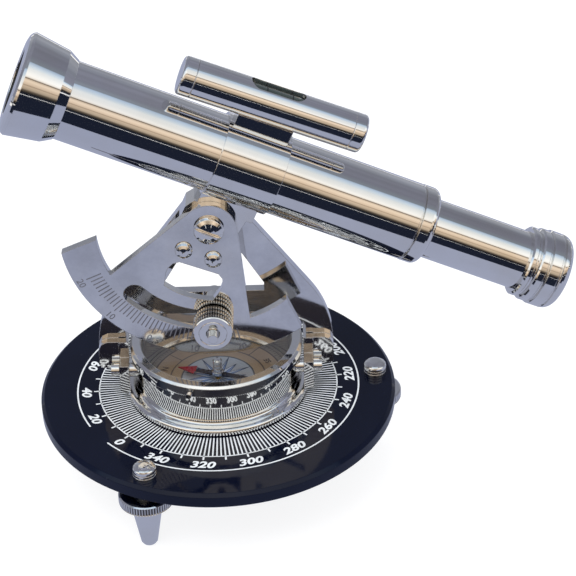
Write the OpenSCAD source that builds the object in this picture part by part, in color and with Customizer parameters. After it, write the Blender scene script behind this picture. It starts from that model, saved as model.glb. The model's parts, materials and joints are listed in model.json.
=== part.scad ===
// Desk theodolite: a telescope with a level tube on a tilting sector, carried by a bell-shaped frame
// on a round compass turret, over a round base with three levelling screws.
// Origin: on the azimuth axis, at the table top. +X towards the eyepiece, +Z up, -Y the sector side.

/* [Base] */
// Diameter of the round base
base_dia = 127; // [124:1:150]
// Thickness of the base
base_thick = 5.5; // [4.5:0.5:8]
// Height of the base's top face above the table
base_top = 29.5; // [28:0.5:36]
// Radius at which the levelling screws stand
screw_ring = 56.8; // [52:0.2:57]
// Bearing of the first levelling screw, counter-clockwise from +X
screw_bearing = 5; // [0:1:10]
// Diameter of a levelling screw's thread
screw_dia = 8; // [6:0.5:9]
// Diameter of a levelling foot's knurled flange
foot_dia = 19; // [15:0.5:22]

/* [Compass turret] */
// Outer diameter of the turret's lower flange
flange_dia = 65.4; // [64.2:0.2:70]
// Outer diameter of the drum
drum_dia = 58; // [56:0.5:58]
// Height of the turret from the base to the bezel's top
turret_height = 20; // [19:0.5:21]
// Outer diameter of the bezel ring
bezel_dia = 61; // [60:0.2:61]

/* [Frame] */
// Height of the altitude axis above the base
pivot_height = 72; // [71:0.5:80]
// Width over the frame's feet
frame_width = 83; // [82:0.5:90]
// Thickness of the frame plate
frame_thick = 3.5; // [3:0.25:4]
// Radius from the altitude axis to the clamp stud
clamp_radius = 36.3; // [36:0.1:37]

/* [Sector] */
// Outer radius of the sector
sector_radius = 50.5; // [48:0.5:51]
// Thickness of the sector plate
sector_thick = 3; // [2:0.25:3.5]
// Half angle of the clamp slot, to the centre of its round end
slot_half_angle = 24.3; // [20:0.1:26]
// Angle by which the sector stands off square to the telescope
sector_offset = -1.6; // [-3:0.1:3]

/* [Telescope] */
// Tilt of the telescope, positive with the eyepiece down
tilt = 23.7; // [0:0.1:25]
// Height of the telescope's axis over the altitude axis
barrel_rise = 24.3; // [24:0.1:30]
// Outer diameter of the barrel
barrel_dia = 26.6; // [26:0.1:27]
// Distance from the altitude axis to the front of the hood
hood_reach = 77; // [70:1:90]
// Distance from the altitude axis to the end of the barrel
barrel_reach = 63; // [56:1:70]
// Outer diameter of the draw tube
draw_dia = 20.5; // [18:0.1:20.6]
// Length of draw tube that shows between the collar and the eyepiece
draw_out = 35; // [20:1:45]
// Outer diameter of the level tube
level_dia = 13; // [11:0.1:13.5]
// Length of the level tube
level_length = 63.4; // [56:0.2:70]
// Angle by which the level tube stands off the barrel
level_offset = -1.7; // [-3:0.1:3]

/* [Hidden] */
$fn = 96;
fit = 0.03;
slide_gap = 0.1;
base_r = base_dia / 2;
base_bottom = base_top - base_thick;
screw_r = screw_dia / 2;
foot_r = foot_dia / 2;
foot_top = base_bottom - 1.6;
foot_flange = 3.8;
stud_rise = 4.4;
spindle_r = 4;

deck = base_top + 0.2;
flange_r = flange_dia / 2;
flange_top = base_top + 3.4;
drum_r = drum_dia / 2;
bowl_r = drum_r - 2;
bowl_floor = base_top + 1.4;
bezel_r = bezel_dia / 2;
turret_top = base_top + turret_height;
rim = turret_top - 3;
card_thick = 0.3;
glass_thick = 1.6;
glass_r = drum_r - 0.8;
gasket_thick = 0.4;
needle_z = bowl_floor + 1.8;
needle_reach = 15;
pin_foot_r = 1.1;
pin_top = needle_z + 4.6;

pivot_z = base_top + pivot_height;
axle_r = 3;
head_r = 5.2;
foot_out = frame_width / 2;
foot_in = foot_out - 7.2;
foot_low = base_top + 10;
foot_high = base_top + 20.9;
post_in = bezel_r + 0.3;
post_front = -9;
post_back = frame_thick + 4;
side_screw_y = -5.5;
side_screw_z = base_top + 11;
frame_screw_x = (foot_in + foot_out) / 2;
frame_screw_z = (foot_low + foot_high) / 2;
bar_low = base_top + 30.5;
bar_high = base_top + 39.4;
leg_in = bezel_r + 1.3;

clamp_z = pivot_z - clamp_radius;
stud_r = 1.65;
tongue_front = -9.3;
tongue_back = -0.4;
barrel_y = (tongue_front + tongue_back) / 2;
sector_front = tongue_front - sector_thick;
sector_inner = 38;
sector_top = 9.3;
washer_front = sector_front - 0.6;
knob_length = 8;
knob_r = 6.9;
knob_back = washer_front - 0.05;
knob_front = knob_back - knob_length;

barrel_r = barrel_dia / 2;
barrel_bore = barrel_r - 1.2;
hood_front_r = 17.4;
hood_rear_r = 15.6;
hood_length = 17.7;
barrel_start = hood_length - 6.7 - hood_reach;
lens_r = 12.4;
collar_length = 6.4;
collar_end = barrel_reach + collar_length;
draw_r = draw_dia / 2;
draw_bore = draw_r - 1;
draw_start = barrel_reach - 35;
eye_start = collar_end + draw_out;
eye_length = 15.2;
ring_r = barrel_r + 0.85;
ring_from = -7.5;
ring_to = 14.5;
level_r = level_dia / 2;
level_bore = level_r - 1.3;
level_rise = barrel_rise + 23.5;
level_mid = 3.5;
level_cap = 4.6;
vial_r = level_bore - 0.15;

// ---- shared helpers ----

// A turned piece along X: points are [station along X, radius]
module turned_x(points) {
    rotate([0, 90, 0])
        rotate_extrude()
            polygon([for (p = points) [p[1], p[0]]]);
}

// A rod or a bore along X from one station to another
module rod_x(from, to, r) {
    translate([from, 0, 0])
        rotate([0, 90, 0])
            cylinder(h = to - from, r = r);
}

// A rod or a bore along Y from one station to another
module rod_y(from, to, r) {
    translate([0, from, 0])
        rotate([-90, 0, 0])
            cylinder(h = to - from, r = r);
}

// A tube along X
module tube_x(from, to, outer, inner) {
    difference() {
        rod_x(from, to, outer);
        rod_x(from - 1, to + 1, inner);
    }
}

// A flat plate standing in the XZ plane between two Y stations, drawn as [x, z]
module plate_y(from, to) {
    translate([0, to, 0])
        rotate([90, 0, 0])
            linear_extrude(to - from)
                children();
}

// Points on an arc about a centre, from one angle to another
function arc(cx, cy, r, from, to, steps) =
    [for (i = [0 : steps]) let (a = from + (to - from) * i / steps) [cx + r * cos(a), cy + r * sin(a)]];

// Places the telescope's own axes: origin on the altitude axis, X along the barrel
module tilted() {
    translate([0, 0, pivot_z])
        rotate([0, tilt, 0])
            children();
}

module on_barrel() {
    tilted()
        translate([0, barrel_y, barrel_rise])
            children();
}

module on_level() {
    tilted()
        translate([level_mid, barrel_y, level_rise])
            rotate([0, level_offset, 0])
                children();
}

function screw_angle(i) = screw_bearing + 120 * (i - 1);

module at_screw(i) {
    rotate([0, 0, screw_angle(i)])
        translate([screw_ring, 0, 0])
            children();
}

// ---- base and levelling screws ----

module base_plate() {
    bevel = 1.2;
    color("#10141f")
        difference() {
            translate([0, 0, base_bottom])
                rotate_extrude($fn = 180)
                    polygon([
                        [0, 0], [base_r - 0.5, 0], [base_r, 0.5],
                        [base_r, base_thick - bevel], [base_r - bevel, base_thick], [0, base_thick]
                    ]);
            translate([0, 0, base_bottom - 1])
                cylinder(h = base_thick + 2, r = spindle_r + fit);
            for (i = [1 : 3])
                at_screw(i)
                    translate([0, 0, base_bottom - 1])
                        cylinder(h = base_thick + 2, r = screw_r + fit);
        }
}

// Threaded screw: grooved and domed above the base, with a plain neck that holds the foot
module levelling_screw(i) {
    neck_r = screw_r - 1;
    neck_low = foot_top - 10;
    dome = 1.6;
    color("silver")
        at_screw(i) {
            difference() {
                translate([0, 0, foot_top + 0.1])
                    cylinder(h = base_top + stud_rise - dome - foot_top - 0.1, r = screw_r);
                for (k = [0 : 1])
                    translate([0, 0, base_top + 0.6 + 1.1 * k])
                        rotate_extrude()
                            polygon([[screw_r - 0.4, 0.3], [screw_r + 1, -0.35], [screw_r + 1, 0.95]]);
            }
            translate([0, 0, base_top + stud_rise - dome])
                rotate_extrude()
                    polygon(concat(
                        [[0, 0]],
                        [for (a = [0 : 15 : 90]) [screw_r - 2.8 + 2.8 * cos(a), dome * sin(a)]],
                        [[0, dome]]
                    ));
            translate([0, 0, neck_low])
                cylinder(h = foot_top + 0.1 - neck_low, r = neck_r);
        }
}

module levelling_screw_1() { levelling_screw(1); }
module levelling_screw_2() { levelling_screw(2); }
module levelling_screw_3() { levelling_screw(3); }

// Knurled flange over a tapering foot with a small flat tip
module levelling_foot(i) {
    bore_r = screw_r - 1 + fit;
    shoulder = foot_top - foot_flange;
    color("silver")
        at_screw(i)
            difference() {
                rotate_extrude()
                    polygon([
                        [0, 0], [1.6, 0], [2.4, 0.4], [2.9, 1.2], [5.6, shoulder - 0.6], [6.2, shoulder],
                        [foot_r - 0.5, shoulder], [foot_r, shoulder + 0.5],
                        [foot_r, foot_top - 0.5], [foot_r - 0.5, foot_top], [0, foot_top]
                    ]);
                translate([0, 0, foot_top - 10.2])
                    cylinder(h = 12, r = bore_r);
            }
}

module levelling_foot_1() { levelling_foot(1); }
module levelling_foot_2() { levelling_foot(2); }
module levelling_foot_3() { levelling_foot(3); }

// ---- azimuth bearing under the turret ----

// Shouldered spindle: threaded below the base, a neck in the turret's floor with a bore for the needle pin
module azimuth_spindle() {
    neck_r = 3;
    color("silver")
        difference() {
            union() {
                translate([0, 0, base_bottom - 5.2])
                    cylinder(h = bowl_floor - base_bottom + 5.2, r = neck_r);
                translate([0, 0, base_bottom - 0.05])
                    cylinder(h = deck - base_bottom + 0.05, r = spindle_r);
            }
            translate([0, 0, deck])
                cylinder(h = 3, r = pin_foot_r);
        }
}

module spindle_washer() {
    color("goldenrod")
        translate([0, 0, base_bottom - 0.85])
            difference() {
                cylinder(h = 0.8, r = 8);
                translate([0, 0, -1])
                    cylinder(h = 3, r = 3.05);
            }
}

module spindle_nut() {
    color("silver")
        translate([0, 0, base_bottom - 4.4])
            difference() {
                cylinder(h = 3.55, r = 6, $fn = 6);
                translate([0, 0, -1])
                    cylinder(h = 6, r = 3);
            }
}

// ---- compass turret ----

// Turned cup: wide flange, fillet, drum wall and the floor that carries the compass card
module turret_housing() {
    fillet = 1.4;
    half = (flange_top - deck) / 2;
    color("silver")
        difference() {
            rotate_extrude($fn = 180)
                polygon(concat(
                    [[3, deck]],
                    arc(flange_r - half, deck + half, half, -90, 90, 12),
                    arc(drum_r + fillet, flange_top + fillet, fillet, 270, 180, 6),
                    [[drum_r, rim], [bowl_r, rim], [bowl_r, bowl_floor], [3, bowl_floor]]
                ));
            for (side = [0, 1])
                mirror([side, 0, 0])
                    translate([0, side_screw_y, side_screw_z])
                        rod_x(bowl_r - 3, bowl_r + 3, 1.3);
            rotate([0, 0, -107])
                translate([0, 0, rim - 0.85])
                    rod_x(bowl_r + 0.6, drum_r + 1, 0.6);
        }
}

module compass_card() {
    color("tan")
        translate([0, 0, bowl_floor])
            difference() {
                cylinder(h = card_thick, r = bowl_r - 0.2);
                translate([0, 0, -1])
                    cylinder(h = 3, r = 1.2);
            }
}

// Pin on a small foot; the needle's cap turns on its point
module needle_pin() {
    color("gold")
        translate([0, 0, deck]) {
            cylinder(h = bowl_floor - deck, r = pin_foot_r);
            cylinder(h = pin_top - deck, r = 0.6);
            translate([0, 0, pin_top - deck])
                cylinder(h = 1.2, r1 = 0.6, r2 = 0.1);
        }
}

// Flat lozenge needle with a broad arrow at its north end
module compass_needle() {
    barb = needle_reach - 6.5;
    color("firebrick")
        rotate([0, 0, 163])
            translate([0, 0, needle_z])
                difference() {
                    linear_extrude(0.4)
                        polygon([
                            [barb, 0.7], [barb, 2.3], [needle_reach, 0], [barb, -2.3], [barb, -0.7], [2, -1.2],
                            [0, -1.9], [-2, -1.2], [2 - needle_reach, -0.5], [2 - needle_reach, 0.5],
                            [-2, 1.2], [0, 1.9], [2, 1.2]
                        ]);
                    translate([0, 0, -1])
                        cylinder(h = 3, r = 1);
                }
}

// Turned cap: broad foot on the needle, ringed neck above, blind bore over the pin
module needle_cap() {
    cap_low = needle_z + 0.4;
    color("silver")
        difference() {
            translate([0, 0, cap_low])
                rotate_extrude()
                    polygon([
                        [0, 0], [2.2, 0], [2.2, 1], [1.7, 1.4], [1.7, 2.3], [1.4, 2.5], [1.4, 2.9], [1.7, 3.1],
                        [1.7, 3.9], [1.4, 4.1], [1.4, 4.5], [1.7, 4.7], [1.7, 5.6], [1.2, 6.2], [0, 6.4]
                    ]);
            translate([0, 0, cap_low - 1])
                cylinder(h = pin_top - cap_low + 1 - 0.2, r = 0.6 + fit);
            translate([0, 0, pin_top - 0.3])
                cylinder(h = 1.6, r1 = 0.75, r2 = 0.25);
        }
}

module glass_gasket() {
    color("#2a2a2a")
        translate([0, 0, rim])
            difference() {
                cylinder(h = gasket_thick, r = glass_r, $fn = 180);
                translate([0, 0, -1])
                    cylinder(h = 3, r = bowl_r + 0.2, $fn = 180);
            }
}

module compass_glass() {
    color("lightcyan")
        translate([0, 0, rim + gasket_thick])
            cylinder(h = glass_thick, r = glass_r, $fn = 180);
}

// Ring that grips the drum and turns in over the glass
module bezel_ring() {
    skirt_low = rim - 1.6;
    lip_low = rim + gasket_thick + glass_thick;
    color("silver")
        difference() {
            rotate_extrude($fn = 180)
                polygon([
                    [drum_r, skirt_low], [bezel_r - 0.5, skirt_low], [bezel_r, skirt_low + 0.5],
                    [bezel_r, turret_top - 0.8], [bezel_r - 0.8, turret_top],
                    [glass_r - 1.2, turret_top], [glass_r - 1.8, lip_low], [drum_r, lip_low]
                ]);
            rotate([0, 0, -107])
                translate([0, 0, rim - 0.85])
                    rod_x(drum_r - 2, bezel_r + 1, 0.6);
        }
}

module bezel_screw() {
    color("silver")
        rotate([0, 0, -107])
            translate([0, 0, rim - 0.85]) {
                rod_x(bowl_r + 0.7, bezel_r, 0.6);
                rod_x(bezel_r, bezel_r + 0.8, 1);
            }
}

// ---- brackets that join the frame to the turret ----

// Stepped post beside the drum, with a boss to the drum wall and a tab behind the frame's foot
module bracket(side) {
    step_z = base_top + 14.5;
    color("silver")
        mirror([side < 0 ? 1 : 0, 0, 0])
            difference() {
                union() {
                    translate([post_in, post_front, flange_top])
                        cube([foot_in - 0.05 - post_in, post_back - post_front, step_z - flange_top]);
                    translate([post_in, -3.2, step_z])
                        cube([foot_in - 0.05 - post_in, post_back + 3.2, foot_high - step_z]);
                    translate([post_in, frame_thick + 0.05, foot_low])
                        cube([foot_out - 0.6 - post_in, post_back - frame_thick - 0.05, foot_high - foot_low]);
                    translate([0, side_screw_y, side_screw_z])
                        rod_x(drum_r - 2, post_in + 1, 2.6);
                }
                translate([0, 0, flange_top - 1])
                    cylinder(h = 40, r = drum_r, $fn = 180);
                translate([0, side_screw_y, side_screw_z])
                    rod_x(drum_r - 4, foot_out, 1.35);
                translate([frame_screw_x, 0, frame_screw_z])
                    rod_y(frame_thick - 1, post_back + 1, 1.35);
            }
}

module bracket_left() { bracket(-1); }
module bracket_right() { bracket(1); }

// Two slotted cheese-head screws from the brackets into the drum
module bracket_screws() {
    color("silver")
        for (side = [0, 1])
            mirror([side, 0, 0])
                translate([0, side_screw_y, side_screw_z])
                    difference() {
                        union() {
                            rod_x(bowl_r + 0.2, foot_in - 0.05, 1.3);
                            rod_x(foot_in - 0.05, foot_in + 2.9, 2.4);
                        }
                        translate([foot_in + 2, -0.35, -3])
                            cube([2, 0.7, 6]);
                    }
}

// ---- frame ----

// Bell outline: a round boss on the axle, straight flanks and legs that curve down to the feet
module frame_outline() {
    normal = 36.5;
    boss_r = 8.7;
    leg_r = 40;
    leg_x = foot_out - leg_r;
    leg_z = (pivot_z * sin(normal) + boss_r - leg_r - leg_x * cos(normal)) / sin(normal);
    boss_x = boss_r * cos(normal);
    boss_z = pivot_z + boss_r * sin(normal);
    knee_x = leg_x + leg_r * cos(normal);
    knee_z = leg_z + leg_r * sin(normal);
    translate([0, pivot_z])
        circle(r = boss_r);
    polygon([[-knee_x, knee_z], [-boss_x, boss_z], [boss_x, boss_z], [knee_x, knee_z]]);
    translate([-foot_out, foot_low])
        square([2 * foot_out, leg_z - foot_low]);
    intersection() {
        union() {
            translate([leg_x, leg_z])
                circle(r = leg_r, $fn = 180);
            translate([-leg_x, leg_z])
                circle(r = leg_r, $fn = 180);
        }
        translate([-foot_out, leg_z])
            square([2 * foot_out, knee_z - leg_z]);
    }
}

// Upper window between the pivot boss and the crossbar
module upper_window() {
    polygon([
        [17.6, bar_high], [17.6, bar_high + 3.2], [10.5, base_top + 54.5], [6, base_top + 59],
        [-6, base_top + 59], [-10.5, base_top + 54.5], [-17.6, bar_high + 3.2], [-17.6, bar_high]
    ]);
}

// Lower window under the crossbar, open towards the turret
module lower_window() {
    for (side = [0, 1])
        mirror([side, 0])
            polygon([
                [-1, foot_low - 1], [foot_in, foot_low - 1], [foot_in, foot_high + 0.3], [leg_in, foot_high + 0.3],
                [leg_in, base_top + 24], [leg_in - 3, bar_low - 1.4], [leg_in - 5, bar_low], [-1, bar_low]
            ]);
}

// Bell-shaped plate with a crossbar for the clamp stud and a thick foot at each side
module frame() {
    color("silver")
        difference() {
            union() {
                plate_y(0, frame_thick)
                    difference() {
                        frame_outline();
                        upper_window();
                        lower_window();
                    }
                for (side = [0, 1])
                    mirror([side, 0, 0])
                        plate_y(-2.9, frame_thick)
                            polygon([
                                [foot_in, foot_low], [foot_out - 1, foot_low], [foot_out, foot_low + 1],
                                [foot_out, foot_high - 3], [foot_out - 1, foot_high - 1],
                                [foot_out - 3, foot_high], [foot_in, foot_high]
                            ]);
            }
            translate([0, 0, pivot_z])
                rod_y(-1, frame_thick + 1, axle_r + fit);
            translate([0, 0, clamp_z])
                rod_y(-1, frame_thick + 1, 2.2);
            for (side = [-1, 1])
                translate([side * frame_screw_x, 0, frame_screw_z])
                    rod_y(-1.2, frame_thick + 1, 1.3);
        }
}

// Two round-head screws that hold the frame's feet to the brackets from behind
module frame_screws() {
    color("silver")
        for (side = [-1, 1])
            translate([side * frame_screw_x, 0, frame_screw_z])
                difference() {
                    union() {
                        rod_y(-1, post_back, 1.3);
                        rod_y(post_back, post_back + 2, 2.4);
                    }
                    translate([-3, post_back + 1.2, -0.35])
                        cube([6, 2, 0.7]);
                }
}

// ---- sector clamp ----

module clamp_stud() {
    color("silver")
        translate([0, 0, clamp_z]) {
            rod_y(knob_front - 3.3, 0, stud_r);
            rod_y(0, frame_thick, 2.2);
            rod_y(frame_thick, frame_thick + 1.2, 3.2);
        }
}

module clamp_spacer() {
    color("silver")
        translate([0, 0, clamp_z])
            difference() {
                rod_y(tongue_front + slide_gap, 0, 4.2);
                rod_y(tongue_front - 1, 1, stud_r);
            }
}

module clamp_washer() {
    color("goldenrod")
        translate([0, 0, clamp_z])
            difference() {
                rod_y(washer_front, sector_front - 0.05, 5);
                rod_y(washer_front - 1, sector_front + 1, stud_r + fit);
            }
}

// Round thumb nut with three knurled bands, two plain grooves and a countersunk face
module clamp_knob() {
    band = knob_length / 4;
    color("silver")
        translate([0, knob_back, clamp_z])
            rotate([90, 0, 0])
                rotate_extrude()
                    polygon([
                        [stud_r + fit, 0], [knob_r - 0.4, 0], [knob_r, 0.4],
                        [knob_r, band], [knob_r - 0.5, band + 0.2], [knob_r - 0.5, band + 0.5], [knob_r, band + 0.7],
                        [knob_r, 2 * band + 0.2], [knob_r - 0.5, 2 * band + 0.4],
                        [knob_r - 0.5, 2 * band + 0.7], [knob_r, 2 * band + 0.9],
                        [knob_r, knob_length - 0.5], [knob_r - 0.5, knob_length],
                        [stud_r + 0.8, knob_length], [stud_r + fit, knob_length - 0.8]
                    ]);
}

// ---- altitude axle ----

// Shoulder screw with a broad slotted head; it turns in the frame with the telescope
module altitude_axle() {
    color("silver")
        tilted()
            difference() {
                union() {
                    rod_y(sector_front, frame_thick + 0.1, axle_r);
                    rod_y(frame_thick + 0.1, frame_thick + 4.4, axle_r - 0.6);
                    translate([0, sector_front, 0])
                        rotate([90, 0, 0])
                            rotate_extrude()
                                polygon([
                                    [0, 0], [head_r, 0], [head_r, 0.9], [head_r - 0.5, 1.6],
                                    [head_r - 1.6, 2.3], [head_r - 3, 2.7], [0, 2.9]
                                ]);
                }
                translate([-8, sector_front - 4, -0.6])
                    cube([16, 2.6, 1.2]);
            }
}

module axle_washer() {
    color("goldenrod")
        tilted()
            difference() {
                rod_y(frame_thick + 0.1, frame_thick + 0.9, 6);
                rod_y(frame_thick - 1, frame_thick + 2, axle_r - 0.6);
            }
}

module axle_nut() {
    color("silver")
        tilted()
            difference() {
                translate([0, frame_thick + 0.9, 0])
                    rotate([-90, 0, 0])
                        cylinder(h = 3, r = 5.2, $fn = 6);
                rod_y(frame_thick - 1, frame_thick + 6, axle_r - 0.6);
            }
}

// ---- sector and telescope bracket ----

// Round top and web, drawn with the sector's centre line along -Z; the flanks are tangent to the top
module web_outline() {
    web_half = 41.5;
    touch = web_half - 90 + acos(sector_top / sector_inner);
    touch_x = sector_top * cos(touch);
    touch_z = sector_top * sin(touch);
    flank = (sector_inner * sin(web_half) - touch_x) / (sector_inner * cos(web_half) + touch_z);
    web_z = sector_inner * cos(web_half) + 4;
    web_x = touch_x + flank * (web_z + touch_z);
    polygon(concat(
        arc(0, 0, sector_top, touch, 180 - touch, 24),
        [[-web_x, -web_z], [0, -(sector_inner + sector_radius) / 2], [web_x, -web_z]]
    ));
}

// Graduated arc with slanted ends
module arc_outline() {
    end_half = 59;
    slant = end_half - 14;
    outer_x = sector_radius * sin(end_half);
    outer_z = -sector_radius * cos(end_half);
    intersection() {
        difference() {
            circle(r = sector_radius, $fn = 240);
            circle(r = sector_inner, $fn = 180);
        }
        polygon([
            [-outer_x - 20 * sin(slant), outer_z - 20 * cos(slant)],
            [-outer_x + 20 * sin(slant), outer_z + 20 * cos(slant)],
            [outer_x - 20 * sin(slant), outer_z + 20 * cos(slant)],
            [outer_x + 20 * sin(slant), outer_z - 20 * cos(slant)],
            [0, -2 * sector_radius]
        ]);
    }
}

// Curved clamp slot, concentric with the altitude axis
module slot_outline() {
    half_width = 3.9;
    reach = 2 * clamp_radius;
    intersection() {
        difference() {
            circle(r = clamp_radius + half_width, $fn = 180);
            circle(r = clamp_radius - half_width, $fn = 180);
        }
        polygon([
            [0, 0], [-reach * sin(slot_half_angle), -reach * cos(slot_half_angle)],
            [reach * sin(slot_half_angle), -reach * cos(slot_half_angle)]
        ]);
    }
    for (side = [-1, 1])
        rotate(270 + side * slot_half_angle)
            translate([clamp_radius, 0])
                circle(r = half_width);
}

// Window with a flat top and a curved bottom
module window_outline() {
    polygon(concat(
        [[-7, -14.9], [-8.8, -16.2], [-9.8, -18.4], [-9.9, -20.6]],
        arc(0, 0, 27, 270 - 19, 270 + 19, 12),
        [[9.9, -20.6], [9.8, -18.4], [8.8, -16.2], [7, -14.9]]
    ));
}

module sector() {
    screw_at = 26.7;
    color("silver")
        tilted()
            rotate([0, sector_offset, 0])
                difference() {
                    union() {
                        plate_y(sector_front, tongue_front)
                            web_outline();
                        plate_y(sector_front, tongue_front)
                            arc_outline();
                    }
                    plate_y(sector_front - 1, tongue_front + 1)
                        slot_outline();
                    plate_y(sector_front - 1, tongue_front + 1)
                        translate([2, -0.6])
                            window_outline();
                    rod_y(sector_front - 1, tongue_front + 1, axle_r);
                    for (side = [-1, 1])
                        rotate([0, 90 + side * screw_at, 0])
                            translate([11.7, 0, 0])
                                rod_y(sector_front - 1, tongue_front + 1, 1.5);
                }
}

// Two domed screws through the sector into the bracket's tongue
module sector_screws() {
    color("silver")
        tilted()
            rotate([0, sector_offset, 0])
                for (side = [-1, 1])
                    rotate([0, 90 + side * 26.7, 0])
                        translate([11.7, 0, 0]) {
                            rod_y(sector_front, tongue_front + 5, 1.5);
                            translate([0, sector_front, 0])
                                rotate([90, 0, 0])
                                    rotate_extrude()
                                        polygon([
                                            [0, 0], [3.1, 0], [3, 0.7], [2.5, 1.4], [1.6, 1.9], [0, 2.1]
                                        ]);
                        }
}

// Tongue on the altitude axle, saddle under the barrel and the ring that holds it
module telescope_bracket() {
    saddle_low = barrel_rise - ring_r - 4.2;
    color("silver")
        tilted()
            difference() {
                union() {
                    plate_y(tongue_front, tongue_back)
                        polygon(concat(
                            arc(0, 0, 15, 238, 302, 8),
                            [[10, -2], [11, 6], [12.5, saddle_low + 1], [-8, saddle_low + 1], [-10, 4], [-10, -2]]
                        ));
                    translate([ring_from + 0.6, tongue_front, saddle_low])
                        cube([ring_to - ring_from - 2, tongue_back - tongue_front, ring_r]);
                    translate([0, barrel_y, barrel_rise])
                        rod_x(ring_from, ring_to, ring_r);
                }
                translate([0, barrel_y, barrel_rise])
                    rod_x(ring_from - 2, ring_to + 2, barrel_r);
                rod_y(tongue_front - 1, tongue_back + 1, axle_r);
                rotate([0, sector_offset, 0])
                    for (side = [-1, 1])
                        rotate([0, 90 + side * 26.7, 0])
                            translate([11.7, 0, 0])
                                rod_y(tongue_front - 1, tongue_front + 5.2, 1.5);
            }
}

// ---- telescope ----

module main_barrel() {
    color("silver")
        on_barrel()
            tube_x(barrel_start, barrel_reach, barrel_r, barrel_bore);
}

// Flared hood with a thick front rim, pushed over the front of the barrel
module objective_hood() {
    front = -hood_reach;
    rear = front + hood_length;
    color("silver")
        on_barrel()
            turned_x([
                [front + 1.4, 10.8], [front + 0.2, 11.3], [front, 12.2], [front + 0.15, hood_front_r - 3],
                [front + 0.6, hood_front_r - 1.4], [front + 1.3, hood_front_r - 0.5], [front + 2.2, hood_front_r],
                [rear - 3.6, hood_rear_r], [rear, barrel_r + 0.3], [rear, barrel_r],
                [barrel_start, barrel_r], [barrel_start, lens_r + 0.1],
                [barrel_start - 4.2, lens_r + 0.1], [barrel_start - 4.2, 10.8]
            ]);
}

// Biconvex objective
module objective_lens() {
    edge = 1.2;
    bulge = 1.1;
    sphere_r = (lens_r * lens_r + bulge * bulge) / (2 * bulge);
    sweep = asin(lens_r / sphere_r);
    color("lightblue")
        on_barrel()
            translate([barrel_start - 3.3, 0, 0])
                turned_x(concat(
                    [for (i = [0 : 8]) let (a = sweep * i / 8)
                        [-edge / 2 - bulge + sphere_r * (1 - cos(a)), sphere_r * sin(a)]],
                    [for (i = [8 : -1 : 0]) let (a = sweep * i / 8)
                        [edge / 2 + bulge - sphere_r * (1 - cos(a)), sphere_r * sin(a)]]
                ));
}

module lens_retainer() {
    color("#202020")
        on_barrel()
            tube_x(barrel_start - 2.35, barrel_start, lens_r, 10.6);
}

// Rounded collar that closes the barrel and guides the draw tube
module end_collar() {
    slide_r = draw_r + fit;
    round_r = 2.4;
    color("silver")
        on_barrel()
            turned_x(concat(
                [[barrel_reach - 9, slide_r], [barrel_reach - 9, barrel_bore], [barrel_reach, barrel_bore],
                 [barrel_reach, barrel_r - 0.5], [barrel_reach + 0.5, barrel_r - 0.5],
                 [barrel_reach + 0.8, barrel_r + 0.1]],
                [for (a = [90 : -15 : 0])
                    [collar_end - round_r + round_r * cos(a), barrel_r + 0.1 - round_r + round_r * sin(a)]],
                [[collar_end, slide_r]]
            ));
}

// ---- level tube ----

module level_post() {
    low = barrel_rise + ring_r - 1.2;
    high = level_rise - level_r + 1;
    color("silver")
        tilted()
            difference() {
                translate([ring_from + 1.5, barrel_y - 3.5, low])
                    cube([ring_to - ring_from - 3, 7, high - low]);
                translate([0, barrel_y, barrel_rise])
                    rod_x(ring_from - 2, ring_to + 2, ring_r);
                translate([level_mid, barrel_y, level_rise])
                    rotate([0, level_offset, 0])
                        rod_x(ring_from - 8, ring_to + 2, level_r);
            }
}

// Tube with a long oval window on top
module level_casing() {
    half = level_length / 2 - level_cap;
    color("silver")
        on_level()
            difference() {
                tube_x(-half, half, level_r, level_bore);
                linear_extrude(level_r + 1)
                    for (side = [-1, 1])
                        translate([side * 6, 0])
                            circle(r = 3.4);
                translate([-6, -3.4, 0])
                    cube([12, 6.8, level_r + 1]);
            }
}

// Rounded cap with a spigot in the tube
module level_end() {
    half = level_length / 2;
    turned_x(concat(
        [[half - level_cap - 3, 0], [half - level_cap - 3, level_bore], [half - level_cap, level_bore],
         [half - level_cap, level_r - 0.2], [half - level_cap + 0.3, level_r], [half - 1.2, level_r]],
        [for (a = [75 : -15 : 0]) [half - 1.2 + 1.2 * cos(a), level_r - 1.2 + 1.2 * sin(a)]],
        [[half, 0]]
    ));
}

module level_cap_front() {
    color("silver")
        on_level()
            rotate([0, 0, 180])
                level_end();
}

module level_cap_rear() {
    color("silver")
        on_level()
            level_end();
}

module level_vial() {
    half = level_length / 2 - level_cap - 3.1;
    color("#bcd36a")
        on_level()
            rod_x(-half, half, vial_r);
}

// ---- draw tube and eyepiece ----

module draw_tube() {
    color("silver")
        on_barrel()
            tube_x(draw_start, eye_start + 2, draw_r, draw_bore);
}

module guide_ring() {
    color("#3a2a20")
        on_barrel()
            tube_x(draw_start, draw_start + 5, barrel_bore - 0.05, draw_r);
}

// Turned eyepiece: bead, groove, two bands and a rounded end with the eye aperture
module eyepiece() {
    s = eye_start;
    e = eye_start + eye_length;
    big = 13.2;
    color("silver")
        on_barrel()
            turned_x(concat(
                [[s, draw_r], [s, 11.6], [s + 0.6, 12.2], [s + 1.8, 12.2], [s + 2.3, 11.5], [s + 3, 11.5],
                 [s + 3.4, 12.4], [s + 4, 12.8], [s + 6.1, 12.8], [s + 6.3, 12.4], [s + 6.8, 12.4],
                 [s + 7.1, big], [s + 10.7, big], [s + 10.9, big - 0.5], [s + 11.4, big - 0.5], [s + 11.7, big]],
                [for (a = [80 : -10 : 10]) [e - 3.3 + 3.3 * cos(a), big - 3.4 + 3.3 * sin(a)]],
                [[e, 6.5], [e - 1.6, 4.2], [e - 2.4, 4.2], [e - 2.4, 7.1], [e - 5.4, 7.1],
                 [e - 5.4, draw_bore - 0.5], [s + 2, draw_bore - 0.5], [s + 2, draw_r]]
            ));
}

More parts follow.
